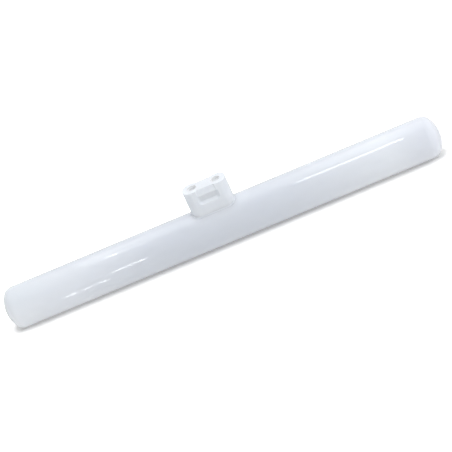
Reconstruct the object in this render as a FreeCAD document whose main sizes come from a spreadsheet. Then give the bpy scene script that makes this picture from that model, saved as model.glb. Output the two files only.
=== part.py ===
import FreeCAD, Part
import Sketcher
import math
import os

# A linear lamp: an opal glass tube with domed ends and one moulded cap in the middle of its length.
# The row frame has its origin at the centre of the cap's flat contact face, +Z out of the cap
# and +X along the tube.

doc = FreeCAD.newDocument("tubular_lamp")

# Driving sizes in millimetres.
sizes = {
    # the blown tube, tip to tip, with torispherical ends
    "tube_length": 300.0,
    "tube_diameter": 28.0,
    "crown_over_tube": 6.0,      # how much the crown's radius exceeds the tube's
    "knuckle_radius": 7.0,
    # the moulded cap
    "cap_length": 29.2,
    "cap_width": 13.2,
    "cap_rise": 17.0,            # from the top of the glass to the contact face
    "cap_end_flat": 2.2,         # straight middle of each rounded end
    "cap_edge_round": 0.4,
    # the cement between cap and glass
    "cement_gap": 0.3,
    "cement_inset": 1.0,         # how far the bed stays back from the cap's outline
    # clip notch in each long side, with 45 degree ends and ledge
    "notch_width": 14.4,
    "notch_ceiling": 4.4,        # below the contact face
    "notch_foot": 10.6,          # below the contact face
    "notch_depth": 1.7,
    "notch_corner": 2.4,
    "notch_floor_corner": 0.7,
    # lead-in channel from the contact face down to the notch's lip
    "channel_width": 13.0,
    "channel_depth": 1.1,
    "channel_end_depth": 0.2,
    # contact wells and the rivets seated in them
    "contact_spacing": 16.0,
    "well_diameter": 6.2,
    "well_depth": 1.2,
    "seat_clearance": 0.05,      # radial, round the rivet's head and shank
    "head_sink": 0.1,            # from the well's foot down to the head's rim
    "head_diameter": 5.6,
    "head_thickness": 1.0,
    "head_chamfer": 0.15,
    "rim_width": 0.45,
    "dish_radius": 5.0,
    "dimple_diameter": 1.2,
    "dimple_depth": 0.5,
    "shank_diameter": 3.2,
    "shank_length": 5.0,
    "shank_chamfer": 0.3,
    "bore_end_gap": 0.3,
}

sheet = doc.addObject("Spreadsheet::Sheet", "Sizes")
for row, (alias, number) in enumerate(sizes.items(), start=1):
    sheet.set("A%d" % row, alias)
    sheet.set("B%d" % row, str(number))
    sheet.setAlias("B%d" % row, alias)
doc.recompute()

# Formulas that several features share, in the sheet's own names.
tube_radius = "Sizes.tube_diameter / 2"
axis_drop = "(Sizes.cap_rise + Sizes.tube_diameter / 2)"
cap_corner = "(Sizes.cap_width - Sizes.cap_end_flat) / 2"
head_top = "(Sizes.well_depth + Sizes.head_sink)"
head_bottom = head_top + " + Sizes.head_thickness"

right_angle = math.pi / 2


def size(alias):
    return float(sheet.get(alias))


def add_body(name):
    body = doc.addObject("PartDesign::Body", name)
    body.Label = name
    return body


def origin_feature(body, role):
    return next(item for item in body.Origin.OriginFeatures if item.Role == role)


def add_sketch(body, name, plane, offset=None):
    sketch = body.newObject("Sketcher::SketchObject", name)
    sketch.AttachmentSupport = (origin_feature(body, plane), "")
    sketch.MapMode = "FlatFace"
    if offset:
        sketch.setExpression("AttachmentOffset.Base.z", offset)
    return sketch


def point(x, y):
    return FreeCAD.Vector(x, y, 0)


def line(start, end):
    return Part.LineSegment(point(*start), point(*end))


def arc(centre, radius, first, last):
    return Part.ArcOfCircle(Part.Circle(point(*centre), FreeCAD.Vector(0, 0, 1), radius), first, last)


def relate(sketch, kind, *places):
    sketch.addConstraint(Sketcher.Constraint(kind, *places))


def dimension(sketch, name, kind, places, value, formula):
    index = sketch.addConstraint(Sketcher.Constraint(kind, *places, value))
    sketch.renameConstraint(index, name)
    sketch.setExpression("Constraints." + name, formula)


def edges_where(feature, test):
    edges = feature.Shape.Edges
    return ["Edge%d" % (i + 1) for i, edge in enumerate(edges) if test(edge)]


# A line's or arc's ends are points 1 and 2 and its centre is 3; -1 is the sketch's X axis, whose
# point 1 is the origin, and -2 is its Y axis.

def add_rectangle(sketch, length, width, length_formula, width_formula):
    x = length / 2
    y = width / 2
    corners = [(-x, -y), (x, -y), (x, y), (-x, y)]
    first = sketch.GeometryCount
    for i in range(4):
        sketch.addGeometry(line(corners[i], corners[(i + 1) % 4]))
    for i in range(4):
        relate(sketch, "Coincident", first + i, 2, first + (i + 1) % 4, 1)
        relate(sketch, "Vertical" if i % 2 else "Horizontal", first + i)
    relate(sketch, "Symmetric", first, 1, first + 2, 1, -1, 1)
    dimension(sketch, "length", "DistanceX", (first, 1, first, 2), length, length_formula)
    dimension(sketch, "width", "DistanceY", (first + 1, 1, first + 1, 2), width, width_formula)


def add_circle(sketch, name, x, y, diameter, x_formula, y_formula, diameter_formula):
    index = sketch.addGeometry(Part.Circle(point(x, y), FreeCAD.Vector(0, 0, 1), diameter / 2))
    if x_formula:
        dimension(sketch, name + "_x", "DistanceX", (-1, 1, index, 3), x, x_formula)
    else:
        relate(sketch, "PointOnObject", index, 3, -2)
    if y_formula:
        dimension(sketch, name + "_y", "DistanceY", (-1, 1, index, 3), y, y_formula)
    else:
        relate(sketch, "PointOnObject", index, 3, -1)
    dimension(sketch, name + "_diameter", "Diameter", (index,), diameter, diameter_formula)


# The glass: one blown piece, revolved from half its outline. Each end is a flat crown that runs
# through a tighter knuckle into the straight wall.

def make_opal_tube():
    body = add_body("opal_tube")
    body.setExpression("Placement.Base.z", "-" + axis_drop)
    half = size("tube_length") / 2
    radius = size("tube_diameter") / 2
    knuckle = size("knuckle_radius")
    crown = radius + size("crown_over_tube")
    crown_x = half - crown
    knuckle_x = crown_x + math.sqrt((crown - knuckle) ** 2 - (radius - knuckle) ** 2)
    join = math.atan2(radius - knuckle, knuckle_x - crown_x)

    sketch = add_sketch(body, "tube_outline", "XZ_Plane")
    sketch.addGeometry(line((-half, 0), (half, 0)))
    sketch.addGeometry(arc((crown_x, 0), crown, 0, join))
    sketch.addGeometry(arc((knuckle_x, radius - knuckle), knuckle, join, right_angle))
    sketch.addGeometry(line((knuckle_x, radius), (-knuckle_x, radius)))
    sketch.addGeometry(arc((-knuckle_x, radius - knuckle), knuckle, right_angle, math.pi - join))
    sketch.addGeometry(arc((-crown_x, 0), crown, math.pi - join, math.pi))
    relate(sketch, "Symmetric", 0, 1, 0, 2, -1, 1)
    relate(sketch, "Horizontal", 0)
    relate(sketch, "Coincident", 0, 2, 1, 1)
    for i in range(1, 5):
        relate(sketch, "Tangent", i, 2, i + 1, 1)
    relate(sketch, "Coincident", 5, 2, 0, 1)
    for crown_arc in (1, 5):
        relate(sketch, "PointOnObject", crown_arc, 3, -1)
    relate(sketch, "Horizontal", 3)
    relate(sketch, "Equal", 1, 5)
    relate(sketch, "Equal", 2, 4)
    dimension(sketch, "length", "DistanceX", (0, 1, 0, 2), 2 * half, "Sizes.tube_length")
    dimension(sketch, "crown", "Radius", (1,), crown, tube_radius + " + Sizes.crown_over_tube")
    dimension(sketch, "knuckle", "Radius", (2,), knuckle, "Sizes.knuckle_radius")
    dimension(sketch, "wall", "DistanceY", (-1, 1, 3, 1), radius, tube_radius)

    glass = body.newObject("PartDesign::Revolution", "glass")
    glass.Profile = sketch
    glass.ReferenceAxis = (sketch, ["H_Axis"])
    glass.Angle = 360
    return body


# The cap: a rounded block with a saddle underneath, and in each long side a clip notch that a
# shallow lead-in channel runs down to. Each contact lies in a well, with its head in a seat at the
# well's foot and its shank in a bore below that.

def add_cap_block(body):
    outline = add_sketch(body, "cap_outline", "XY_Plane")
    add_rectangle(outline, size("cap_length"), size("cap_width"), "Sizes.cap_length", "Sizes.cap_width")
    block = body.newObject("PartDesign::Pad", "block")
    block.Profile = outline
    block.Reversed = True
    block.setExpression("Length", axis_drop)
    doc.recompute()

    corners = body.newObject("PartDesign::Fillet", "round_ends")
    corners.Base = (block, edges_where(block, lambda edge: abs(edge.tangentAt(edge.FirstParameter).z) > 0.99))
    corners.setExpression("Radius", cap_corner)
    doc.recompute()

    rim = body.newObject("PartDesign::Fillet", "eased_rim")
    rim.Base = (corners, edges_where(corners, lambda edge: edge.BoundBox.ZMin > -0.01))
    rim.setExpression("Radius", "Sizes.cap_edge_round")
    doc.recompute()


def add_notch_outline(body, name, offset, inset, corner, inset_formula, corner_formula):
    sketch = add_sketch(body, name, "XZ_Plane", offset)
    x = size("notch_width") / 2 - inset
    top = -size("notch_ceiling")
    bottom = -size("notch_foot") + inset
    sketch.addGeometry(line((-x, top), (x, top)))
    sketch.addGeometry(line((x, top), (x, bottom + corner)))
    sketch.addGeometry(arc((x - corner, bottom + corner), corner, -right_angle, 0))
    sketch.addGeometry(line((-x + corner, bottom), (x - corner, bottom)))
    sketch.addGeometry(arc((-x + corner, bottom + corner), corner, math.pi, math.pi + right_angle))
    sketch.addGeometry(line((-x, bottom + corner), (-x, top)))
    relate(sketch, "Coincident", 0, 2, 1, 1)
    relate(sketch, "Tangent", 1, 2, 2, 2)
    relate(sketch, "Tangent", 2, 1, 3, 2)
    relate(sketch, "Tangent", 3, 1, 4, 2)
    relate(sketch, "Tangent", 4, 1, 5, 1)
    relate(sketch, "Coincident", 5, 2, 0, 1)
    relate(sketch, "Symmetric", 0, 1, 0, 2, -2)
    relate(sketch, "Horizontal", 3)
    for upright in (1, 5):
        relate(sketch, "Vertical", upright)
    relate(sketch, "Equal", 2, 4)
    dimension(sketch, "width", "DistanceX", (0, 1, 0, 2), 2 * x, "Sizes.notch_width - 2 * " + inset_formula)
    dimension(sketch, "ceiling", "DistanceY", (0, 1, -1, 1), -top, "Sizes.notch_ceiling")
    dimension(sketch, "foot", "DistanceY", (3, 1, -1, 1), -bottom, "Sizes.notch_foot - " + inset_formula)
    dimension(sketch, "corner", "Radius", (2,), corner, corner_formula)
    return sketch


def add_channel_outline(body, name, offset, depth, depth_formula):
    sketch = add_sketch(body, name, "XY_Plane", offset)
    x = size("channel_width") / 2
    face = -size("cap_width") / 2
    corners = [(-x, face), (x, face), (x - depth, face + depth), (-x + depth, face + depth)]
    for i in range(4):
        sketch.addGeometry(line(corners[i], corners[(i + 1) % 4]))
    for i in range(4):
        relate(sketch, "Coincident", i, 2, (i + 1) % 4, 1)
    for level in (0, 2):
        relate(sketch, "Symmetric", level, 1, level, 2, -2)
    dimension(sketch, "width", "DistanceX", (0, 1, 0, 2), 2 * x, "Sizes.channel_width")
    dimension(sketch, "floor", "DistanceX", (2, 2, 2, 1), 2 * (x - depth),
              "Sizes.channel_width - 2 * " + depth_formula)
    dimension(sketch, "face", "DistanceY", (0, 1, -1, 1), -face, "Sizes.cap_width / 2")
    dimension(sketch, "depth", "DistanceY", (0, 1, 2, 2), depth, depth_formula)
    return sketch


def add_loft_cut(body, name, first, second):
    cut = body.newObject("PartDesign::SubtractiveLoft", name)
    cut.Profile = first
    cut.Sections = [second]
    return cut


def add_side_recesses(body):
    channel = add_loft_cut(
        body, "lead_in_channel",
        add_channel_outline(body, "channel_top", None, size("channel_depth"), "Sizes.channel_depth"),
        add_channel_outline(body, "channel_lip", "-Sizes.notch_ceiling", size("channel_end_depth"),
                            "Sizes.channel_end_depth"))
    doc.recompute()
    notch = add_loft_cut(
        body, "clip_notch",
        add_notch_outline(body, "notch_face", "Sizes.cap_width / 2", 0, size("notch_corner"), "0",
                          "Sizes.notch_corner"),
        add_notch_outline(body, "notch_floor", "Sizes.cap_width / 2 - Sizes.notch_depth", size("notch_depth"),
                          size("notch_floor_corner"), "Sizes.notch_depth", "Sizes.notch_floor_corner"))
    doc.recompute()
    both = body.newObject("PartDesign::Mirrored", "both_sides")
    both.Originals = [channel, notch]
    both.MirrorPlane = (origin_feature(body, "XZ_Plane"), [""])
    body.Tip = both
    doc.recompute()


def add_contact_circles(body, name, diameter, diameter_formula):
    sketch = add_sketch(body, name, "XY_Plane")
    for side, sign, prefix in (("left", -1, "-"), ("right", 1, "")):
        add_circle(sketch, side, sign * size("contact_spacing") / 2, 0, diameter,
                   prefix + "Sizes.contact_spacing / 2", None, diameter_formula)
    return sketch


def add_contact_wells(body):
    wells = body.newObject("PartDesign::Pocket", "contact_wells")
    wells.Profile = add_contact_circles(body, "well_circles", size("well_diameter"), "Sizes.well_diameter")
    wells.setExpression("Length", "Sizes.well_depth")
    doc.recompute()
    seats = body.newObject("PartDesign::Hole", "rivet_seats")
    seats.Profile = add_contact_circles(body, "seat_circles", size("head_diameter"), "Sizes.head_diameter")
    seats.DepthType = "Dimension"
    seats.DrillPoint = "Flat"
    seats.HoleCutType = "Counterbore"
    seats.HoleCutCustomValues = True
    seats.setExpression("Diameter", "Sizes.shank_diameter + 2 * Sizes.seat_clearance")
    seats.setExpression("Depth", head_bottom + " + Sizes.shank_length + Sizes.bore_end_gap")
    seats.setExpression("HoleCutDiameter", "Sizes.head_diameter + 2 * Sizes.seat_clearance")
    seats.setExpression("HoleCutDepth", head_bottom)
    doc.recompute()


def add_saddle(body):
    circle = add_sketch(body, "saddle_circle", "YZ_Plane")
    add_circle(circle, "saddle", 0, -size("cap_rise") - size("tube_diameter") / 2,
               size("tube_diameter") + 2 * size("cement_gap"),
               None, "-" + axis_drop, "Sizes.tube_diameter + 2 * Sizes.cement_gap")
    saddle = body.newObject("PartDesign::Pocket", "saddle")
    saddle.Profile = circle
    saddle.SideType = "Symmetric"
    saddle.setExpression("Length", "2 * Sizes.cap_length")
    doc.recompute()


def make_base_cap():
    body = add_body("base_cap")
    add_cap_block(body)
    add_side_recesses(body)
    add_contact_wells(body)
    add_saddle(body)
    return body


# The cement: a thin bed that fills the gap between glass and cap, held back from the cap's outline
# so that the joint shows as a narrow groove.

def make_cement_bed():
    body = add_body("cement_bed")
    body.setExpression("Placement.Base.z", "-" + axis_drop)
    radius = size("tube_diameter") / 2
    inset = size("cement_inset")
    outline = add_sketch(body, "bed_outline", "XY_Plane")
    add_rectangle(outline, size("cap_length") - 2 * inset, size("cap_width") - 2 * inset,
                  "Sizes.cap_length - 2 * Sizes.cement_inset", "Sizes.cap_width - 2 * Sizes.cement_inset")
    slab = body.newObject("PartDesign::Pad", "slab")
    slab.Profile = outline
    slab.setExpression("Length", tube_radius + " + 2 * Sizes.cement_gap")
    doc.recompute()

    corners = body.newObject("PartDesign::Fillet", "round_ends")
    corners.Base = (slab, edges_where(slab, lambda edge: abs(edge.tangentAt(edge.FirstParameter).z) > 0.99))
    corners.setExpression("Radius", cap_corner + " - Sizes.cement_inset")
    doc.recompute()

    # Everything inside the glass and everything outside the saddle goes, which leaves the bed.
    trim = add_sketch(body, "trim", "YZ_Plane")
    add_rectangle(trim, 4 * radius, 4 * radius, "2 * Sizes.tube_diameter", "2 * Sizes.tube_diameter")
    add_circle(trim, "saddle", 0, 0, 2 * (radius + size("cement_gap")),
               None, None, "Sizes.tube_diameter + 2 * Sizes.cement_gap")
    add_circle(trim, "glass", 0, 0, 2 * radius, None, None, "Sizes.tube_diameter")
    bed = body.newObject("PartDesign::Pocket", "bed")
    bed.Profile = trim
    bed.SideType = "Symmetric"
    bed.setExpression("Length", "2 * Sizes.cap_length")
    doc.recompute()
    return body


# A contact: a turned, nickel-plated rivet with a dished face, a centre dimple and a shank that
# goes down through the cap's floor.

def make_contact(name, side):
    body = add_body(name)
    body.setExpression("Placement.Base.x", "%d * Sizes.contact_spacing / 2" % side)
    body.setExpression("Placement.Base.z", "-" + head_top)
    head = size("head_diameter") / 2
    chamfer = size("head_chamfer")
    rim = head - chamfer - size("rim_width")
    dish = size("dish_radius")
    dish_centre = math.sqrt(dish ** 2 - rim ** 2)
    dimple = size("dimple_diameter") / 2
    dimple_top = dish_centre - math.sqrt(dish ** 2 - dimple ** 2)
    under = -size("head_thickness")
    shank = size("shank_diameter") / 2
    tip_chamfer = size("shank_chamfer")
    tip = under - size("shank_length")

    corners = [
        (rim, 0), (head - chamfer, 0), (head, -chamfer), (head, under), (shank, under),
        (shank, tip + tip_chamfer), (shank - tip_chamfer, tip), (0, tip),
        (0, dimple_top - size("dimple_depth")), (dimple, dimple_top)]
    sketch = add_sketch(body, "contact_outline", "XZ_Plane")
    for start, end in zip(corners, corners[1:]):
        sketch.addGeometry(line(start, end))
    first = -right_angle + math.asin(dimple / dish)
    last = -right_angle + math.asin(rim / dish)
    sketch.addGeometry(arc((0, dish_centre), dish, first, last))
    for i in range(9):
        relate(sketch, "Coincident", i, 2, i + 1, 1)
    relate(sketch, "Coincident", 9, 2, 0, 1)
    for level in (0, 3, 6):
        relate(sketch, "Horizontal", level)
    for upright in (2, 4):
        relate(sketch, "Vertical", upright)
    relate(sketch, "PointOnObject", 0, 1, -1)
    for on_axis in ((7, 1), (7, 2), (9, 3)):
        relate(sketch, "PointOnObject", *on_axis, -2)
    dimension(sketch, "rim", "DistanceX", (0, 1, 0, 2), size("rim_width"), "Sizes.rim_width")
    dimension(sketch, "edge_x", "DistanceX", (1, 1, 1, 2), chamfer, "Sizes.head_chamfer")
    dimension(sketch, "edge_y", "DistanceY", (1, 2, 1, 1), chamfer, "Sizes.head_chamfer")
    dimension(sketch, "head", "DistanceX", (-1, 1, 2, 1), head, "Sizes.head_diameter / 2")
    dimension(sketch, "thickness", "DistanceY", (2, 2, -1, 1), -under, "Sizes.head_thickness")
    dimension(sketch, "shank", "DistanceX", (-1, 1, 4, 1), shank, "Sizes.shank_diameter / 2")
    dimension(sketch, "shank_length", "DistanceY", (7, 1, 4, 1), under - tip, "Sizes.shank_length")
    dimension(sketch, "tip_x", "DistanceX", (5, 2, 5, 1), tip_chamfer, "Sizes.shank_chamfer")
    dimension(sketch, "tip_y", "DistanceY", (5, 2, 5, 1), tip_chamfer, "Sizes.shank_chamfer")
    dimension(sketch, "dish", "Radius", (9,), dish, "Sizes.dish_radius")
    dimension(sketch, "dimple", "DistanceX", (-1, 1, 8, 2), dimple, "Sizes.dimple_diameter / 2")
    dimension(sketch, "dimple_depth", "DistanceY", (8, 1, 8, 2), size("dimple_depth"), "Sizes.dimple_depth")

    rivet = body.newObject("PartDesign::Revolution", "rivet")
    rivet.Profile = sketch
    rivet.ReferenceAxis = (sketch, ["V_Axis"])
    rivet.Angle = 360
    return body


# Each cut has to take material away: a cut that points into the air leaves the volume as it was.

def check_document(bodies):
    for item in doc.Objects:
        if "Invalid" in item.State or "Error" in item.State:
            raise RuntimeError("%s did not build: %s" % (item.Name, item.State))
    for item in doc.Objects:
        base = getattr(item, "BaseFeature", None)
        if item.isDerivedFrom("PartDesign::Feature") and base and base.Shape.Volume <= item.Shape.Volume:
            raise RuntimeError("%s takes nothing away" % item.Name)
    for body in bodies:
        if body.Shape.isNull() or not body.Shape.isValid() or len(body.Shape.Solids) != 1:
            raise RuntimeError("%s is not one valid solid" % body.Label)


parts = [
    make_opal_tube(),
    make_base_cap(),
    make_cement_bed(),
    make_contact("contact_left", -1),
    make_contact("contact_right", 1),
]
doc.recompute()
check_document(parts)

os.makedirs("parts", exist_ok=True)
for part in parts:
    part.Shape.exportStep("parts/%s.step" % part.Label)
    box = part.Shape.BoundBox
    print("%-14s %9.1f mm3  x %.2f %.2f  y %.2f %.2f  z %.2f %.2f" % (
        part.Label, part.Shape.Volume, box.XMin, box.XMax, box.YMin, box.YMax, box.ZMin, box.ZMax))
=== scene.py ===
import bpy
import bmesh
import math
from mathutils import Matrix, Vector


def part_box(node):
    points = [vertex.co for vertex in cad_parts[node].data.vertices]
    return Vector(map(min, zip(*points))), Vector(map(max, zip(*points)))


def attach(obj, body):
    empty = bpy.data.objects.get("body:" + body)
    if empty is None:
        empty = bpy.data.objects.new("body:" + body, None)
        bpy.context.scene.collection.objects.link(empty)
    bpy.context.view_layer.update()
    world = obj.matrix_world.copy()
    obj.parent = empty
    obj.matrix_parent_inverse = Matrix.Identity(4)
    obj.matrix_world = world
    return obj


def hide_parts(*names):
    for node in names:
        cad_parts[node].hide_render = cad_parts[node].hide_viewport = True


# A linear lamp lying on a pale table: an opal glass tube with domed ends, and a moulded cap
# with two seated contacts, cemented to the middle of the glass.

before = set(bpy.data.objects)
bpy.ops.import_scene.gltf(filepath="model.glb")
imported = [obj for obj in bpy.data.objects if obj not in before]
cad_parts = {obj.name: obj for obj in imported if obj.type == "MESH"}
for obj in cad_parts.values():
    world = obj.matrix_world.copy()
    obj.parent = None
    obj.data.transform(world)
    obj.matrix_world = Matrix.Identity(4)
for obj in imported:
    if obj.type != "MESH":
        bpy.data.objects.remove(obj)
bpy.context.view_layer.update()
tubeLow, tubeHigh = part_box("opal_tube")
tubeCentre = (tubeLow + tubeHigh) / 2
contactLow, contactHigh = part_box("contact_left")
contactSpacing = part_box("contact_right")[0].x - contactLow.x
mergeReach = 1e-6               # points closer than this become one
print("frame loaded: nodes", sorted(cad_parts))


# Small helpers for building node trees.

def feed(tree, socket, value):
    if isinstance(value, bpy.types.NodeSocket):
        tree.links.new(value, socket)
    else:
        socket.default_value = value


def addNode(tree, kind, inputs=None, **settings):
    node = tree.nodes.new(kind)
    for name, value in settings.items():
        setattr(node, name, value)
    for socket, value in (inputs or {}).items():
        feed(tree, node.inputs[socket], value)
    return node


def calc(tree, operation, a, b=None, c=None, clamp=False):
    node = addNode(tree, "ShaderNodeMath", operation=operation, use_clamp=clamp)
    for place, value in enumerate((a, b, c)):
        if value is not None:
            feed(tree, node.inputs[place], value)
    return node.outputs[0]


def squareOf(tree, value):
    return calc(tree, "MULTIPLY", value, value)


def lengthOf(tree, a, b):
    return calc(tree, "SQRT", calc(tree, "ADD", squareOf(tree, a), squareOf(tree, b)))


def legOf(tree, longest, other):
    # the third side of a right-angled triangle
    return calc(tree, "SQRT", calc(tree, "SUBTRACT", squareOf(tree, longest), squareOf(tree, other)))


def mapRange(tree, value, fromLow, fromHigh, toLow=0.0, toHigh=1.0, kind="LINEAR"):
    sockets = {"Value": value, "From Min": fromLow, "From Max": fromHigh, "To Min": toLow, "To Max": toHigh}
    return addNode(tree, "ShaderNodeMapRange", sockets, interpolation_type=kind).outputs["Result"]


def fade(tree, value, start, end, first=0.0, last=1.0):
    return mapRange(tree, value, start, end, first, last, kind="SMOOTHSTEP")


def mixColour(tree, amount, first, second):
    sockets = {"Factor": amount, 6: first, 7: second}
    return addNode(tree, "ShaderNodeMix", sockets, data_type="RGBA").outputs[2]


def objectPlace(tree):
    # the place on the piece, as one vector and as x, y and z
    place = addNode(tree, "ShaderNodeTexCoord").outputs["Object"]
    return place, *addNode(tree, "ShaderNodeSeparateXYZ", {0: place}).outputs


def newTree(name, kind, inputs, outputs):
    tree = bpy.data.node_groups.new(name, kind)
    for label, socketType, value in inputs:
        socket = tree.interface.new_socket(label, in_out="INPUT", socket_type=socketType)
        if value is not None:
            socket.default_value = value
    for label, socketType in outputs:
        tree.interface.new_socket(label, in_out="OUTPUT", socket_type=socketType)
    return tree, tree.nodes.new("NodeGroupInput").outputs, tree.nodes.new("NodeGroupOutput").inputs


def srgb(red, green, blue):
    def straight(level):
        level /= 255
        return level / 12.92 if level <= 0.04045 else ((level + 0.055) / 1.055) ** 2.4
    return (straight(red), straight(green), straight(blue), 1.0)


def dimTone(tone, share):
    return tuple(level * share for level in tone[:3]) + (1.0,)


def addObject(name, data):
    made = bpy.data.objects.new(name, data)
    bpy.context.collection.objects.link(made)
    return made


# Shader node groups shared by the materials, and what a material needs to use them.

def makeSurfaceLife():
    # broad patches of a second tone, and a fine grain that moves the roughness and lifts the surface
    low, high = 0.3, 0.7        # the noise seldom leaves this band
    tree, given, result = newTree("surfaceLife", "ShaderNodeTree", [
        ("Tone", "NodeSocketColor", (0.8, 0.8, 0.8, 1.0)),
        ("Second Tone", "NodeSocketColor", (0.7, 0.7, 0.7, 1.0)),
        ("Patch Scale", "NodeSocketFloat", 40.0),
        ("Grain Scale", "NodeSocketFloat", 2500.0),
        ("Smoothest", "NodeSocketFloat", 0.3),
        ("Roughest", "NodeSocketFloat", 0.4),
    ], [("Colour", "NodeSocketColor"), ("Roughness", "NodeSocketFloat"), ("Height", "NodeSocketFloat")])
    place = addNode(tree, "ShaderNodeTexCoord").outputs["Object"]
    patches = addNode(tree, "ShaderNodeTexNoise", {
        "Vector": place, "Scale": given["Patch Scale"], "Detail": 3.0, "Roughness": 0.5})
    grain = addNode(tree, "ShaderNodeTexNoise", {
        "Vector": place, "Scale": given["Grain Scale"], "Detail": 2.0, "Roughness": 0.6})
    share = fade(tree, patches.outputs[0], low, high)
    feed(tree, result["Colour"], mixColour(tree, share, given["Tone"], given["Second Tone"]))
    rough = mapRange(tree, grain.outputs[0], low, high, given["Smoothest"], given["Roughest"])
    feed(tree, result["Roughness"], rough)
    feed(tree, result["Height"], grain.outputs[0])
    return tree


def makeCreviceShade():
    # a soft mask for grooves and inner corners, where shade is painted in
    tree, given, result = newTree("creviceShade", "ShaderNodeTree", [
        ("Reach", "NodeSocketFloat", 0.0006),
        ("Strength", "NodeSocketFloat", 0.5),
    ], [("Mask", "NodeSocketFloat")])
    shade = addNode(tree, "ShaderNodeAmbientOcclusion", {"Distance": given["Reach"]}, samples=8)
    hollow = calc(tree, "SUBTRACT", 1.0, shade.outputs["AO"])
    feed(tree, result["Mask"], calc(tree, "MULTIPLY", hollow, given["Strength"], clamp=True))
    return tree


surfaceLife = makeSurfaceLife()
creviceShade = makeCreviceShade()


def newMaterial(name):
    material = bpy.data.materials.new(name)
    material.use_nodes = True
    tree = material.node_tree
    return material, tree, tree.nodes["Principled BSDF"]


def placeLife(tree, shader, values, tone, secondTone):
    # the group with a piece's own values, its roughness joined to the shader
    life = addNode(tree, "ShaderNodeGroup", {
        "Tone": tone, "Second Tone": secondTone,
        "Patch Scale": values["patchScale"], "Grain Scale": values["grainScale"],
        "Smoothest": values["smoothest"], "Roughest": values["roughest"]}, node_tree=surfaceLife).outputs
    feed(tree, shader.inputs["Roughness"], life["Roughness"])
    return life


def liftSurface(tree, shader, height, values):
    bump = addNode(tree, "ShaderNodeBump", {
        "Height": height, "Strength": values["bump"], "Distance": values["bumpDepth"]})
    feed(tree, shader.inputs["Normal"], bump.outputs["Normal"])


def setBody(shader, values):
    # a translucent body under a clear skin
    for socket, value in (
            ("Subsurface Weight", values["subsurface"]),
            ("Subsurface Radius", (1.0, 1.0, 1.0)),
            ("Subsurface Scale", values["subsurfaceReach"]),
            ("IOR", values["refraction"]),
            ("Coat Weight", values["coat"]),
            ("Coat Roughness", values["coatRoughness"])):
        shader.inputs[socket].default_value = value


# Camera at the photograph's angle, turned to the tube's centre.

view = {
    "azimuth": 4.760,
    "elevation": 27.827,
    "roll": 24.760,
    "distance": 1.316,
    "lens": 164.33,
    "sensor": 36,
    "nearest": 0.05,
    "farthest": 20,
    "across": 0.00185,          # how far the picture's centre is from the tube's
    "up": -0.0031,
}


def makeCamera():
    azimuth, elevation, roll = (math.radians(view[k]) for k in ("azimuth", "elevation", "roll"))
    level = Vector((math.sin(azimuth), -math.cos(azimuth), 0))
    back = level * math.cos(elevation) + Vector((0, 0, math.sin(elevation)))
    right = Vector((math.cos(azimuth), math.sin(azimuth), 0))
    up = back.cross(right)
    cameraX = right * math.cos(roll) - up * math.sin(roll)
    cameraY = right * math.sin(roll) + up * math.cos(roll)
    data = bpy.data.cameras.new("photoCamera")
    data.lens = view["lens"]
    data.sensor_width = view["sensor"]
    data.clip_start, data.clip_end = view["nearest"], view["farthest"]
    camera = addObject("photoCamera", data)
    camera.matrix_world = Matrix((cameraX, cameraY, back)).transposed().to_4x4()
    camera.location = tubeCentre + back * view["distance"] + right * view["across"] + up * view["up"]
    bpy.context.scene.camera = camera


makeCamera()
print("camera placed")


# Opal glass tube, made by a rule: rings of points whose radius and place follow the turn of the
# wall's normal from straight out to along the axis, first round the knuckle, then over the crown.

opalTube = {
    "crownOverTube": 0.006,     # how much the crown's radius exceeds the tube's
    "knuckleRadius": 0.007,
    "rings": 161,
    "sides": 160,
    "straightShare": 0.5,       # share of the rings that stand on the straight wall
    "middleTone": srgb(211, 215, 222),
    "endTone": srgb(231, 234, 238),
    "patchTone": srgb(226, 229, 234),
    # painted shade toward the right end
    "rightEndPaintedShade": srgb(217, 220, 227),
    "leftTopPaintedShade": srgb(222, 226, 231),     # painted shade on the upper side of the left end
    "footPaintedLight": srgb(221, 225, 232),        # painted light round the cap's foot, lifting the cap's shade on the glass
    # each pair is where a tone's fade starts and where it ends
    "endPlaces": (0.02, 0.148),             # from the middle to either end
    "ridgePlaces": (-0.003, 0.002),         # over the top to the far side, where endTone goes out
    "rightPlaces": (0.105, 0.152),
    "leftPlaces": (-0.108, -0.138),
    "upperPlaces": (0.002, 0.0105),         # up from the axis
    "footStraight": 0.004,                  # half of the straight piece of the foot's outline
    "footWide": 1.6,                        # how much sooner its painted light goes out across the tube
    "footPlaces": (0.0106, 0.0236),         # out from that straight piece, where the painted light goes out
    "patchScale": 22.0,
    "grainScale": 900.0,
    "smoothest": 0.03,
    "roughest": 0.05,
    "waveScale": 60.0,
    "waveStretch": (0.25, 1.0, 1.0),        # the glass was drawn along X
    "bump": 0.012,
    "bumpDepth": 0.0004,
    "subsurface": 0.9,
    "subsurfaceReach": 0.01,
    "refraction": 1.5,
    "coat": 0.4,
    "coatRoughness": 0.03,
}


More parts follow.
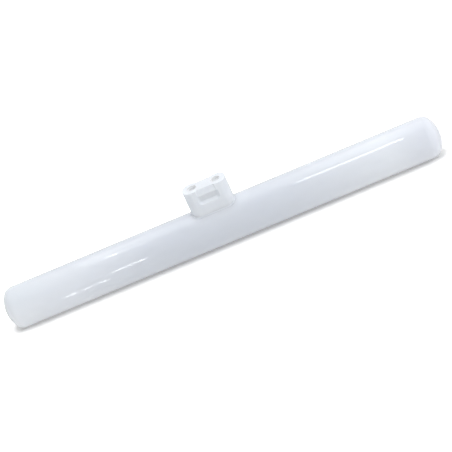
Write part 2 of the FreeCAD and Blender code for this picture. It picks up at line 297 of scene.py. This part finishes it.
def makeTurnedGroup():
    # turns rows of points about the X axis and closes the poles
    tree, given, result = newTree("turned", "GeometryNodeTree", [
        ("Rows", "NodeSocketInt", 64),
        ("Sides", "NodeSocketInt", 64),
        ("Radius", "NodeSocketFloat", 1.0),
        ("Along", "NodeSocketFloat", 0.0),
    ], [("Geometry", "NodeSocketGeometry")])
    across = calc(tree, "ADD", given["Sides"], 1)
    grid = addNode(tree, "GeometryNodeMeshGrid", {"Vertices X": given["Rows"], "Vertices Y": across})
    index = addNode(tree, "GeometryNodeInputIndex").outputs[0]
    spoke = calc(tree, "MODULO", index, across)
    angle = calc(tree, "MULTIPLY", calc(tree, "DIVIDE", spoke, given["Sides"]), math.tau)
    y = calc(tree, "MULTIPLY", given["Radius"], calc(tree, "COSINE", angle))
    z = calc(tree, "MULTIPLY", given["Radius"], calc(tree, "SINE", angle))
    place = addNode(tree, "ShaderNodeCombineXYZ", {0: given["Along"], 1: y, 2: z}).outputs[0]
    turned = addNode(tree, "GeometryNodeSetPosition", {"Geometry": grid.outputs[0], "Position": place})
    closed = addNode(tree, "GeometryNodeMergeByDistance", {
        "Geometry": turned.outputs[0], "Distance": mergeReach})
    smooth = addNode(tree, "GeometryNodeSetShadeSmooth", {"Geometry": closed.outputs[0]})
    feed(tree, result["Geometry"], smooth.outputs[0])
    return tree


turnedGroup = makeTurnedGroup()


def turnRows(tree, rows, sides, radius, along):
    sockets = {"Rows": rows, "Sides": sides, "Radius": radius, "Along": along}
    return addNode(tree, "GeometryNodeGroup", sockets, node_tree=turnedGroup).outputs[0]


def rowNumber(tree, sides):
    index = addNode(tree, "GeometryNodeInputIndex").outputs[0]
    return calc(tree, "FLOOR", calc(tree, "DIVIDE", index, calc(tree, "ADD", sides, 1)))


def finishTree(tree, geometry, material, result):
    real = addNode(tree, "GeometryNodeRealizeInstances", {"Geometry": geometry})
    painted = addNode(tree, "GeometryNodeSetMaterial", {"Geometry": real.outputs[0], "Material": material})
    feed(tree, result["Geometry"], painted.outputs[0])


def growPiece(name, tree, values):
    # runs the tree once on an empty mesh and keeps its result as a plain mesh
    piece = addObject(name, bpy.data.meshes.new(name))
    modifier = piece.modifiers.new("grow", "NODES")
    modifier.node_group = tree
    for item in tree.interface.items_tree:
        if item.in_out == "INPUT" and item.name in values:
            modifier[item.identifier] = values[item.name]
    grown = piece.evaluated_get(bpy.context.evaluated_depsgraph_get())
    mesh = bpy.data.meshes.new_from_object(grown)
    piece.modifiers.remove(modifier)
    piece.data = mesh
    mesh.name = name
    return piece


def makeTubeTree():
    tree, given, result = newTree("opalTubeRule", "GeometryNodeTree", [
        ("Length", "NodeSocketFloat", 0.3),
        ("Radius", "NodeSocketFloat", 0.014),
        ("Crown Radius", "NodeSocketFloat", 0.02),
        ("Knuckle Radius", "NodeSocketFloat", 0.007),
        ("Straight Share", "NodeSocketFloat", 0.5),
        ("Centre", "NodeSocketVector", (0.0, 0.0, 0.0)),
        ("Rings", "NodeSocketInt", 161),
        ("Sides", "NodeSocketInt", 160),
        ("Material", "NodeSocketMaterial", None),
    ], [("Geometry", "NodeSocketGeometry")])
    knuckle, crown, radius = given["Knuckle Radius"], given["Crown Radius"], given["Radius"]
    crownX = calc(tree, "SUBTRACT", calc(tree, "MULTIPLY", given["Length"], 0.5), crown)
    drop = calc(tree, "SUBTRACT", radius, knuckle)
    run = legOf(tree, calc(tree, "SUBTRACT", crown, knuckle), drop)
    knuckleX = calc(tree, "ADD", crownX, run)
    joinTurn = calc(tree, "ARCTAN2", run, drop)

    # a ring's share of the rows, 0 to 1, and the same from the middle outward, -1 to 1
    row = rowNumber(tree, given["Sides"])
    share = calc(tree, "DIVIDE", row, calc(tree, "SUBTRACT", given["Rings"], 1))
    signed = calc(tree, "SUBTRACT", calc(tree, "MULTIPLY", share, 2.0), 1.0)
    outward = calc(tree, "ABSOLUTE", signed)
    straight = mapRange(tree, outward, 0.0, given["Straight Share"])
    turn = mapRange(tree, outward, given["Straight Share"], 1.0, 0.0, math.pi / 2)
    overCrown = calc(tree, "GREATER_THAN", turn, joinTurn)
    bend = mapRange(tree, overCrown, 0.0, 1.0, knuckle, crown)
    baseX = mapRange(tree, overCrown, 0.0, 1.0, calc(tree, "MULTIPLY", knuckleX, straight), crownX)
    baseRadius = mapRange(tree, overCrown, 0.0, 1.0, drop, 0.0)
    along = calc(tree, "MULTIPLY_ADD", bend, calc(tree, "SINE", turn), baseX)
    ringRadius = calc(tree, "MULTIPLY_ADD", bend, calc(tree, "COSINE", turn), baseRadius)
    mirrored = calc(tree, "MULTIPLY", along, calc(tree, "SIGN", signed))

    turned = turnRows(tree, given["Rings"], given["Sides"], ringRadius, mirrored)
    placed = addNode(tree, "GeometryNodeTransform", {"Geometry": turned, "Translation": given["Centre"]})
    finishTree(tree, placed.outputs[0], given["Material"], result)
    return tree


def makeOpalGlass():
    material, tree, shader = newMaterial("opalGlass")
    place, x, y, z = objectPlace(tree)
    fromMiddle = calc(tree, "ABSOLUTE", x)

    # paler toward both ends, on the near side
    nearSide = fade(tree, y, *opalTube["ridgePlaces"], 1.0, 0.0)
    towardEnd = calc(tree, "MULTIPLY", fade(tree, fromMiddle, *opalTube["endPlaces"]), nearSide)
    body = mixColour(tree, towardEnd, opalTube["middleTone"], opalTube["endTone"])
    patch = mixColour(tree, towardEnd, opalTube["middleTone"], opalTube["patchTone"])
    life = placeLife(tree, shader, opalTube, body, patch)

    # painted shade: darker toward the right end, and on the upper side of the left end
    towardRight = fade(tree, x, *opalTube["rightPlaces"])
    upperSide = fade(tree, z, *(tubeCentre.z + height for height in opalTube["upperPlaces"]))
    onLeftTop = calc(tree, "MULTIPLY", fade(tree, x, *opalTube["leftPlaces"]), upperSide)
    colour = mixColour(tree, towardRight, life["Colour"], opalTube["rightEndPaintedShade"])
    colour = mixColour(tree, onLeftTop, colour, opalTube["leftTopPaintedShade"])

    # painted light round the cap's foot, lifting the cap's shade on the glass; the foot's outline is a
    # straight piece with round ends
    beside = calc(tree, "MAXIMUM", calc(tree, "SUBTRACT", fromMiddle, opalTube["footStraight"]), 0.0)
    before = calc(tree, "MULTIPLY", y, opalTube["footWide"])
    nearFoot = fade(tree, lengthOf(tree, beside, before), *opalTube["footPlaces"], 1.0, 0.0)
    colour = mixColour(tree, calc(tree, "MULTIPLY", nearFoot, upperSide), colour, opalTube["footPaintedLight"])
    feed(tree, shader.inputs["Base Color"], colour)

    drawn = addNode(tree, "ShaderNodeMapping", {"Vector": place, "Scale": opalTube["waveStretch"]})
    wave = addNode(tree, "ShaderNodeTexNoise", {
        "Vector": drawn.outputs[0], "Scale": opalTube["waveScale"], "Detail": 1.0})
    liftSurface(tree, shader, wave.outputs[0], opalTube)
    setBody(shader, opalTube)
    return material


glassTube = growPiece("glassTube", makeTubeTree(), {
    "Length": tubeHigh.x - tubeLow.x,
    "Radius": (tubeHigh.z - tubeLow.z) / 2,
    "Crown Radius": (tubeHigh.z - tubeLow.z) / 2 + opalTube["crownOverTube"],
    "Knuckle Radius": opalTube["knuckleRadius"],
    "Straight Share": opalTube["straightShare"],
    "Centre": tubeCentre,
    "Rings": opalTube["rings"],
    "Sides": opalTube["sides"],
    "Material": makeOpalGlass(),
})
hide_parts("opal_tube")
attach(glassTube, "root")
print("glass tube made:", len(glassTube.data.polygons), "faces")


# Pieces that start from a CAD node's own mesh.

def joinedNode(name):
    # the node's loose triangles as one joined shape
    joined = bmesh.new()
    joined.from_mesh(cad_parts[name].data)
    bmesh.ops.remove_doubles(joined, verts=joined.verts, dist=mergeReach)
    return joined


def keepShape(name, shape, material):
    mesh = bpy.data.meshes.new(name)
    shape.to_mesh(mesh)
    shape.free()
    mesh.materials.clear()
    mesh.materials.append(material)
    return addObject(name, mesh)


# Moulded cap: the solid's own form, with its edges eased as a moulding's are.

cap = {
    "flatAngle": 0.4,           # degrees, faces that turn less than this become one
    "edgeRound": 0.0002,
    "edgeSteps": 3,
    "sharpAngle": 38,           # degrees, an edge turning more than this is eased
    "flatWeight": 90,           # how much more a large face counts in the shading of its edges
    "tone": srgb(228, 232, 237),
    "secondTone": srgb(224, 228, 234),
    # painted shade: a darker tone in grooves and inner corners, how far it looks for them, and how strong
    # it is
    "creviceShadeTone": srgb(220, 224, 229),
    "creviceShadeReach": 0.0012,
    "creviceShadeStrength": 0.4,
    "wellPaintedLight": srgb(252, 253, 255),        # painted light on the wells' walls and floors, lifting their shade
    "wellPlaces": (0.0031, 0.0032),         # out from a well's middle, where the painted light goes out
    "patchScale": 120.0,
    "grainScale": 5000.0,
    "smoothest": 0.26,
    "roughest": 0.38,
    "bump": 0.15,
    "bumpDepth": 0.00003,
    "subsurface": 0.6,
    "subsurfaceReach": 0.002,
    "refraction": 1.5,
    "coat": 1.0,
    "coatRoughness": 0.25,
}


def makeCapMoulding():
    material, tree, shader = newMaterial("capMoulding")
    life = placeLife(tree, shader, cap, cap["tone"], cap["secondTone"])
    # painted shade: darker in grooves and inner corners, where little light reaches
    creviceShadeMask = addNode(tree, "ShaderNodeGroup", {
        "Reach": cap["creviceShadeReach"], "Strength": cap["creviceShadeStrength"]}, node_tree=creviceShade).outputs["Mask"]
    creviceShaded = mixColour(tree, creviceShadeMask, life["Colour"], cap["creviceShadeTone"])
    # painted light inside the two wells, lifting the shade on their walls
    x, y = objectPlace(tree)[1:3]
    fromWell = calc(tree, "SUBTRACT", calc(tree, "ABSOLUTE", x), contactSpacing / 2)
    inWell = mapRange(tree, lengthOf(tree, fromWell, y), *cap["wellPlaces"], 1.0, 0.0)
    feed(tree, shader.inputs["Base Color"], mixColour(tree, inWell, creviceShaded, cap["wellPaintedLight"]))
    liftSurface(tree, shader, life["Height"], cap)
    setBody(shader, cap)
    return material


def makeMouldedCap():
    shell = joinedNode("base_cap")
    flat = math.radians(cap["flatAngle"])
    bmesh.ops.dissolve_limit(shell, angle_limit=flat, verts=shell.verts, edges=shell.edges)
    piece = keepShape("mouldedCap", shell, makeCapMoulding())
    for face in piece.data.polygons:
        face.use_smooth = True
    ease = piece.modifiers.new("ease", "BEVEL")
    ease.width = cap["edgeRound"]
    ease.segments = cap["edgeSteps"]
    ease.limit_method = "ANGLE"
    ease.angle_limit = math.radians(cap["sharpAngle"])
    flats = piece.modifiers.new("flats", "WEIGHTED_NORMAL")
    flats.weight = cap["flatWeight"]
    return piece


mouldedCap = makeMouldedCap()
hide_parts("base_cap")
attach(mouldedCap, "root")
print("moulded cap made:", len(mouldedCap.data.polygons), "faces")


# Two turned contacts, one tree that places the same rivet in both wells.

contact = {
    "headDiameter": 0.0056,
    "headThickness": 0.0010,
    "headChamfer": 0.00015,
    "rimWidth": 0.00045,
    "dishRadius": 0.0050,
    "dimpleDiameter": 0.0012,
    "dimpleDepth": 0.0005,
    "shankDiameter": 0.0032,
    "groovePitch": 0.00022,     # rings left by the tool
    "grooveDepth": 0.000006,
    "sides": 64,
    "dimpleRows": 6,            # rows of points on each stretch of the outline
    "dishRows": 48,
    "chamferRows": 3,
    "plainRows": 4,             # on the rim, the head's side and underside, and the shank
    "tipRows": 3,
    "tone": srgb(214, 216, 219),
    "secondTone": srgb(184, 187, 191),
    "patchScale": 900.0,
    "grainScale": 9000.0,
    "smoothest": 0.36,
    "roughest": 0.5,
    "bump": 0.1,
    "bumpDepth": 0.00001,
}
dishEdge = contact["headDiameter"] / 2 - contact["headChamfer"] - contact["rimWidth"]


def contactOutline():
    # runs of rows from the middle of the dish over the rim and down to the shank's tip: rows, out, up
    dimple = contact["dimpleDiameter"] / 2
    head = contact["headDiameter"] / 2
    shank = contact["shankDiameter"] / 2
    length = contactHigh.z - contactLow.z - contact["headThickness"]
    plain = contact["plainRows"]
    return [
        (contact["dimpleRows"], dimple, contact["dimpleDepth"]),
        (contact["dishRows"], dishEdge - dimple, 0.0),
        (plain, contact["rimWidth"], 0.0),
        (contact["chamferRows"], contact["headChamfer"], -contact["headChamfer"]),
        (plain, 0.0, contact["headChamfer"] - contact["headThickness"]),
        (plain, shank - head, 0.0),
        (plain, 0.0, -length),
        (contact["tipRows"], -shank, 0.0),
    ]


def makeContactTree():
    tree, given, result = newTree("contactRule", "GeometryNodeTree", [
        ("Spacing", "NodeSocketFloat", 0.016),
        ("Rim Height", "NodeSocketFloat", 0.0),
        ("Dish Radius", "NodeSocketFloat", 0.005),
        ("Groove Pitch", "NodeSocketFloat", 0.0002),
        ("Groove Depth", "NodeSocketFloat", 0.00001),
        ("Sides", "NodeSocketInt", 64),
        ("Material", "NodeSocketMaterial", None),
    ], [("Geometry", "NodeSocketGeometry")])
    outline = contactOutline()
    rows = sum(count for count, out, up in outline) + 1
    row = rowNumber(tree, given["Sides"])
    radius, height, done = 0.0, 0.0, 0
    for count, out, up in outline:
        share = mapRange(tree, row, done, done + count)
        radius = calc(tree, "MULTIPLY_ADD", share, out, radius)
        height = calc(tree, "MULTIPLY_ADD", share, up, height)
        done += count

    # the dish is part of a ball, with fine rings in it
    lastOnDish = contact["dimpleRows"] + contact["dishRows"]
    onDish = mapRange(tree, row, lastOnDish, lastOnDish + 1, 1.0, 0.0)
    ballHere = legOf(tree, given["Dish Radius"], calc(tree, "MINIMUM", radius, dishEdge))
    dish = calc(tree, "SUBTRACT", legOf(tree, given["Dish Radius"], dishEdge), ballHere)
    turns = calc(tree, "DIVIDE", radius, given["Groove Pitch"])
    wave = calc(tree, "SINE", calc(tree, "MULTIPLY", turns, math.tau))
    hollowed = calc(tree, "MULTIPLY_ADD", wave, given["Groove Depth"], dish)
    onAxis = calc(tree, "SUBTRACT", height, contact["dimpleDepth"])
    level = calc(tree, "MULTIPLY_ADD", hollowed, onDish, onAxis)

    turned = turnRows(tree, rows, given["Sides"], radius, level)
    half = calc(tree, "MULTIPLY", given["Spacing"], -0.5)
    start = addNode(tree, "ShaderNodeCombineXYZ", {0: half, 2: given["Rim Height"]}).outputs[0]
    step = addNode(tree, "ShaderNodeCombineXYZ", {0: given["Spacing"]}).outputs[0]
    places = addNode(tree, "GeometryNodeMeshLine", {"Count": 2, "Start Location": start, "Offset": step})
    both = addNode(tree, "GeometryNodeInstanceOnPoints", {
        "Points": places.outputs[0], "Instance": turned, "Rotation": (0.0, -math.pi / 2, 0.0)})
    finishTree(tree, both.outputs[0], given["Material"], result)
    return tree


def makeContactMetal():
    material, tree, shader = newMaterial("contactNickel")
    life = placeLife(tree, shader, contact, contact["tone"], contact["secondTone"])
    feed(tree, shader.inputs["Base Color"], life["Colour"])
    liftSurface(tree, shader, life["Height"], contact)
    shader.inputs["Metallic"].default_value = 1.0
    return material


contacts = growPiece("contacts", makeContactTree(), {
    "Spacing": contactSpacing,
    "Rim Height": contactHigh.z,
    "Dish Radius": contact["dishRadius"],
    "Groove Pitch": contact["groovePitch"],
    "Groove Depth": contact["grooveDepth"],
    "Sides": contact["sides"],
    "Material": makeContactMetal(),
})
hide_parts("contact_left", "contact_right")
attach(contacts, "root")
print("contacts made:", len(contacts.data.polygons), "faces")


# Cement bed: the solid, spread to a thin bead round the cap's foot, dull and slightly porous.

cementBed = {
    "bead": 0.0002,             # how far it stands outside the cap's outline
    "tone": srgb(238, 243, 250),
    "secondTone": srgb(242, 246, 252),
    "patchScale": 500.0,
    "grainScale": 4000.0,
    "smoothest": 0.75,
    "roughest": 0.95,
    "bump": 0.6,
    "bumpDepth": 0.00008,
}


def makeCement():
    material, tree, shader = newMaterial("paleCement")
    life = placeLife(tree, shader, cementBed, cementBed["tone"], cementBed["secondTone"])
    feed(tree, shader.inputs["Base Color"], life["Colour"])
    liftSurface(tree, shader, life["Height"], cementBed)
    return material


def makeCementRim():
    bed = joinedNode("cement_bed")
    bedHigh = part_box("cement_bed")[1]
    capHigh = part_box("base_cap")[1]
    spread = [(capHigh[k] + cementBed["bead"]) / bedHigh[k] for k in (0, 1)]
    for point in bed.verts:
        # each point keeps its distance from the tube's axis
        fromAxis = math.hypot(point.co.y, point.co.z - tubeCentre.z)
        point.co.x *= spread[0]
        point.co.y *= spread[1]
        point.co.z = tubeCentre.z + math.sqrt(fromAxis ** 2 - point.co.y ** 2)
    return keepShape("cementRim", bed, makeCement())


cementRim = makeCementRim()
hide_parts("cement_bed")
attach(cementRim, "root")
print("cement made:", len(cementRim.data.polygons), "faces")


# Pale floor and studio light.

studio = {
    "floorHalf": 3.0,
    "floorTone": srgb(238, 237, 235),
    "speckScale": 300.0,
    "speckLevel": 0.985,
    "floorGlow": 0.9,           # seen by the camera only
    "contactGlow": 0.08,        # what is left of it where the glass touches the floor
    "mirrorGlow": 0.29,         # seen in reflections
    "mirrorShare": 0.6,         # how much of the floor's tone is left in reflections
    "bounceGlow": 0.2,          # light that it adds from below
    "shadowReach": 0.024,       # how far the contact shadow holds the glow back
    "domeShade": 0.65,          # how much more it does so under the tube's two domes
    "domePlace": 0.1440,
    "domePlaces": (0.003, 0.0115),          # out from there, where the shade goes out
    "domeStart": (-0.004, 0.003),           # along the tube, either side of there, where it sets in
    "skyTone": srgb(250, 252, 255),
    "skyLight": 0.35,
    "lampTone": (0.975, 0.988, 1.0),
    "shineDistance": 1.2,       # from the tube to the lamps that only shine, where they don't say
}


def sightRays(tree):
    # 1 for camera rays, and 1 for glossy and transmission rays
    path = addNode(tree, "ShaderNodeLightPath").outputs
    return path["Is Camera Ray"], calc(tree, "MAXIMUM", path["Is Glossy Ray"], path["Is Transmission Ray"])


def domeMask(tree, x, y):
    # how much more the floor is shaded under the tube's two domes
    along = calc(tree, "ABSOLUTE", x)
    beyond = calc(tree, "MAXIMUM", calc(tree, "SUBTRACT", along, studio["domePlace"]), 0.0)
    near = fade(tree, lengthOf(tree, beyond, y), *studio["domePlaces"], studio["domeShade"], 0.0)
    atDome = fade(tree, along, *(studio["domePlace"] + shift for shift in studio["domeStart"]))
    return calc(tree, "MULTIPLY", near, atDome)


def makeFloorMaterial():
    material, tree, plain = newMaterial("paleFloor")
    tree.nodes.remove(plain)
    place, x, y = objectPlace(tree)[:3]
    toCamera, toGloss = sightRays(tree)

    speck = addNode(tree, "ShaderNodeTexNoise", {
        "Vector": place, "Scale": studio["speckScale"], "Detail": 2.0})
    darker = dimTone(studio["floorTone"], studio["speckLevel"])
    colour = mixColour(tree, speck.outputs[0], studio["floorTone"], darker)
    mirrored = dimTone(studio["floorTone"], studio["mirrorShare"])
    matt = addNode(tree, "ShaderNodeBsdfDiffuse", {"Color": mixColour(tree, toGloss, colour, mirrored)})

    near = addNode(tree, "ShaderNodeAmbientOcclusion", {"Distance": studio["shadowReach"]}, samples=16)
    bare = calc(tree, "SUBTRACT", near.outputs["AO"], domeMask(tree, x, y), clamp=True)
    held = mapRange(tree, bare, 0.0, 1.0, studio["contactGlow"], studio["floorGlow"])
    bounced = mapRange(tree, toGloss, 0.0, 1.0, studio["bounceGlow"], studio["mirrorGlow"])
    strength = mapRange(tree, toCamera, 0.0, 1.0, bounced, held)
    glow = addNode(tree, "ShaderNodeEmission", {"Strength": strength})
    both = addNode(tree, "ShaderNodeAddShader", {0: matt.outputs[0], 1: glow.outputs[0]})
    feed(tree, tree.nodes["Material Output"].inputs["Surface"], both.outputs[0])
    return material


def makeFloor():
    half = studio["floorHalf"]
    corners = [(x, y, tubeLow.z) for x, y in ((-half, -half), (half, -half), (half, half), (-half, half))]
    mesh = bpy.data.meshes.new("floor")
    mesh.from_pydata(corners, [], [(0, 1, 2, 3)])
    mesh.materials.append(makeFloorMaterial())
    addObject("floor", mesh)


def makeSky():
    world = bpy.data.worlds.new("studioSky")
    world.use_nodes = True
    bpy.context.scene.world = world
    tree = world.node_tree
    background = tree.nodes["Background"]
    seen = calc(tree, "MAXIMUM", *sightRays(tree))
    feed(tree, background.inputs["Color"], mixColour(tree, seen, studio["skyTone"], (1.0, 1.0, 1.0, 1.0)))
    feed(tree, background.inputs["Strength"], mapRange(tree, seen, 0.0, 1.0, studio["skyLight"], 1.0))


# Each lamp hangs on an arc over the tube and faces it. Arc is its lower and upper edge in degrees:
# 0 at the viewer's side, 90 overhead and 180 at the far side. Span is its two ends along the tube.
boxes = {
    "overhead": {"span": (-1.05, 1.35), "arc": (52, 90), "distance": 1.6, "level": 1.43},
    "behind": {"span": (-1.05, 1.35), "arc": (106, 134), "distance": 1.6, "level": 1.33},
    "rightSide": {"span": (1.1, 1.9), "arc": (40, 80), "distance": 0.9, "level": 3.5},
    "leftSide": {"span": (-1.9, -1.1), "arc": (40, 80), "distance": 0.9, "level": 0.7},
}
# These only shine in the gloss. Their span is where the camera sees them on the glass.
shines = {
    "middleBand": {"span": (-0.095, 0.01), "arc": (84, 132), "level": 0.95},
    "rightBand": {"span": (0.015, 0.15), "arc": (84, 134), "level": 0.65},
    "leftFar": {"span": (-0.095, 0.06), "arc": (138, 155), "level": 0.15},
    "rightFar": {"span": (0.06, 0.15), "arc": (138, 176), "level": 0.2},
    "rightStrip": {"span": (0.0548, 0.127), "arc": (68.2, 73.8), "level": 6.4},
    "topStrip": {"span": (-0.0752, -0.0675), "arc": (87.5, 95.0), "level": 6.0},
    "frontStrip": {"span": (-0.0735, -0.0515), "arc": (4, 9.5), "level": 7.0},
    "lowDashA": {"span": (-0.1091, -0.1014), "arc": (-14, -8), "distance": 0.033, "level": 4.5},
    "lowDashB": {"span": (-0.0976, -0.0899), "arc": (-14, -8), "distance": 0.033, "level": 4.5},
    "lowDashC": {"span": (-0.0860, -0.0784), "arc": (-14, -8), "distance": 0.033, "level": 4.5},
}


def hangLamp(name, span, arc, level, distance, towardCentre=True):
    data = bpy.data.lights.new(name, "AREA")
    data.shape = "RECTANGLE"
    data.size = span[1] - span[0]
    data.size_y = 2 * distance * math.tan(math.radians(arc[1] - arc[0]) / 2)
    data.energy = level * 4 * data.size * data.size_y       # so that level is the lamp's own brightness
    data.color = studio["lampTone"]
    turn = math.radians(arc[0] + arc[1]) / 2
    place = Vector(((span[0] + span[1]) / 2, -distance * math.cos(turn), distance * math.sin(turn)))
    outward = (place if towardCentre else Vector((0, place.y, place.z))).normalized()
    side = outward.cross(Vector((1, 0, 0))).normalized()
    lamp = addObject(name, data)
    lamp.matrix_world = Matrix((side.cross(outward), side, outward)).transposed().to_4x4()
    lamp.location = place + tubeCentre
    lamp.visible_camera = False
    return lamp


def mirroredSpan(span, distance):
    # where a lamp's ends are, for the camera to see it on that stretch of the glass
    eye = bpy.context.scene.camera.location - tubeCentre
    glass = tubeHigh.z - tubeCentre.z
    return [x + (x - eye.x) * (distance - glass) / (math.hypot(eye.y, eye.z) - glass) for x in span]


def hangLamps():
    for name, values in boxes.items():
        hangLamp(name, **values).visible_glossy = False
    for name, values in shines.items():
        distance = values.get("distance", studio["shineDistance"])
        settings = dict(values, span=mirroredSpan(values["span"], distance), distance=distance)
        hangLamp(name, towardCentre=False, **settings).visible_diffuse = False


makeFloor()
makeSky()
hangLamps()
bpy.context.scene.view_settings.view_transform = "Standard"
print("studio lit")
